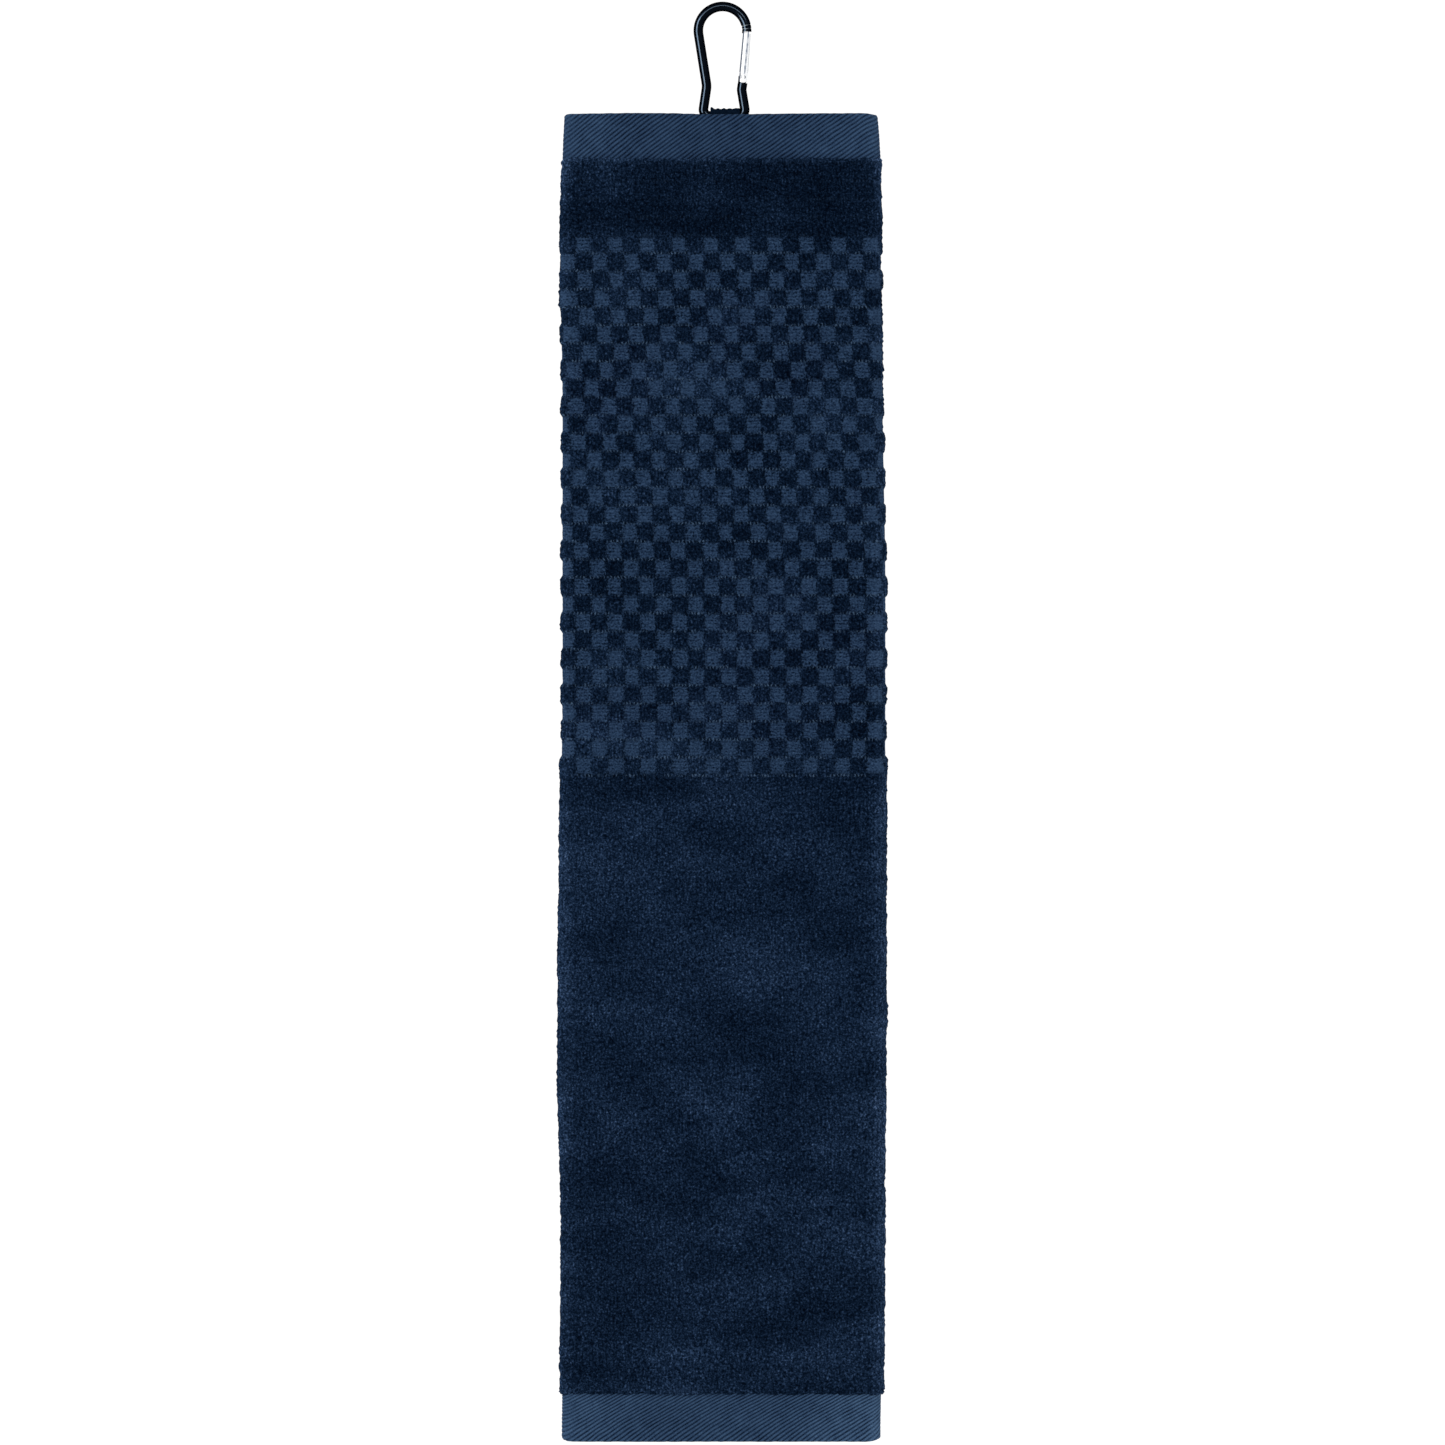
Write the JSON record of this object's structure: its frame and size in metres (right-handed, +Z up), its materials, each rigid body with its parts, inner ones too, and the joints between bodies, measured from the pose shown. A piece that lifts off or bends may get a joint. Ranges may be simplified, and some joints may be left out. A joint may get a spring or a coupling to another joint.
{
  "type": "golf towel",
  "caption": "Cotton velour golf towel folded in three behind its middle panel, woven checked band, flat end hems and a tape loop on a snap carabiner with a sprung gate.",
  "frame": {"origin": "inner top of the carabiner's bend, where it rests on the ring or strap it hangs from", "axes": "+Z up along the hanging towel, +X to the right of someone looking at its front, front faces -Y"},
  "size_m": [0.1346, 0.0165, 0.596],
  "materials": {
    "velour_pile": "matte",
    "hem_twill": "matte",
    "side_hem": "matte",
    "loop_tape": "matte",
    "thread": "satin",
    "carabiner_black": "gloss",
    "gate_metal": "satin",
    "pin_steel": "satin",
    "spring_steel": "satin"
  },
  "bodies": {
    "carabiner": {"carabiner_body": "carabiner_black"},
    "gate": {"carabiner_gate": "gate_metal", "gate_hinge_pin": "pin_steel", "gate_spring": "spring_steel"},
    "plunger": {"gate_plunger": "pin_steel"},
    "towel": {"middle_panel": "velour_pile", "left_fold": "velour_pile", "inner_flap": "velour_pile", "inner_side_hem": "side_hem", "inner_side_seam": "thread", "hang_loop": "loop_tape", "loop_stitching": "thread", "top_hem_middle": "hem_twill", "top_hem_left_fold": "hem_twill", "top_hem_inner": "hem_twill", "top_hem_seam": "thread", "bottom_hem_middle": "hem_twill", "bottom_hem_left_fold": "hem_twill", "bottom_hem_inner": "hem_twill", "bottom_hem_seam": "thread"},
    "outer_flap": {"outer_flap": "velour_pile", "outer_side_hem": "side_hem", "outer_side_seam": "thread", "top_hem_outer": "hem_twill", "top_hem_outer_seam": "thread", "bottom_hem_outer": "hem_twill", "bottom_hem_outer_seam": "thread"}
  },
  "joints": [
    {"name": "gate_hinge", "type": "hinge", "parent": "carabiner", "child": "gate", "pos_m": [0.0086, 0, -0.0273], "axis": [0, -1, 0], "range_deg": [0, 30], "stiffness_Nm_per_rad": 0.0015, "springref_deg": -114.59},
    {"name": "plunger_slide", "type": "slide", "parent": "gate", "child": "plunger", "axis": [0.0797, 0, 0.9968], "range_m": [0, 0.00055], "deforming": ["gate_spring"]},
    {"name": "towel_swing", "type": "hinge", "parent": "carabiner", "child": "towel", "pos_m": [0, 0, -0.0433], "axis": [1, 0, 0], "range_deg": [-30, 30]},
    {"name": "outer_flap_fold", "type": "hinge", "parent": "towel", "child": "outer_flap", "pos_m": [0.0677, -0.00035, 0], "axis": [0, 0, -1], "range_deg": [0, 179]}
  ],
  "couplings": [
    {"joint": "plunger_slide", "follows": "gate_hinge", "m_per_rad": 0.001}
  ]
}
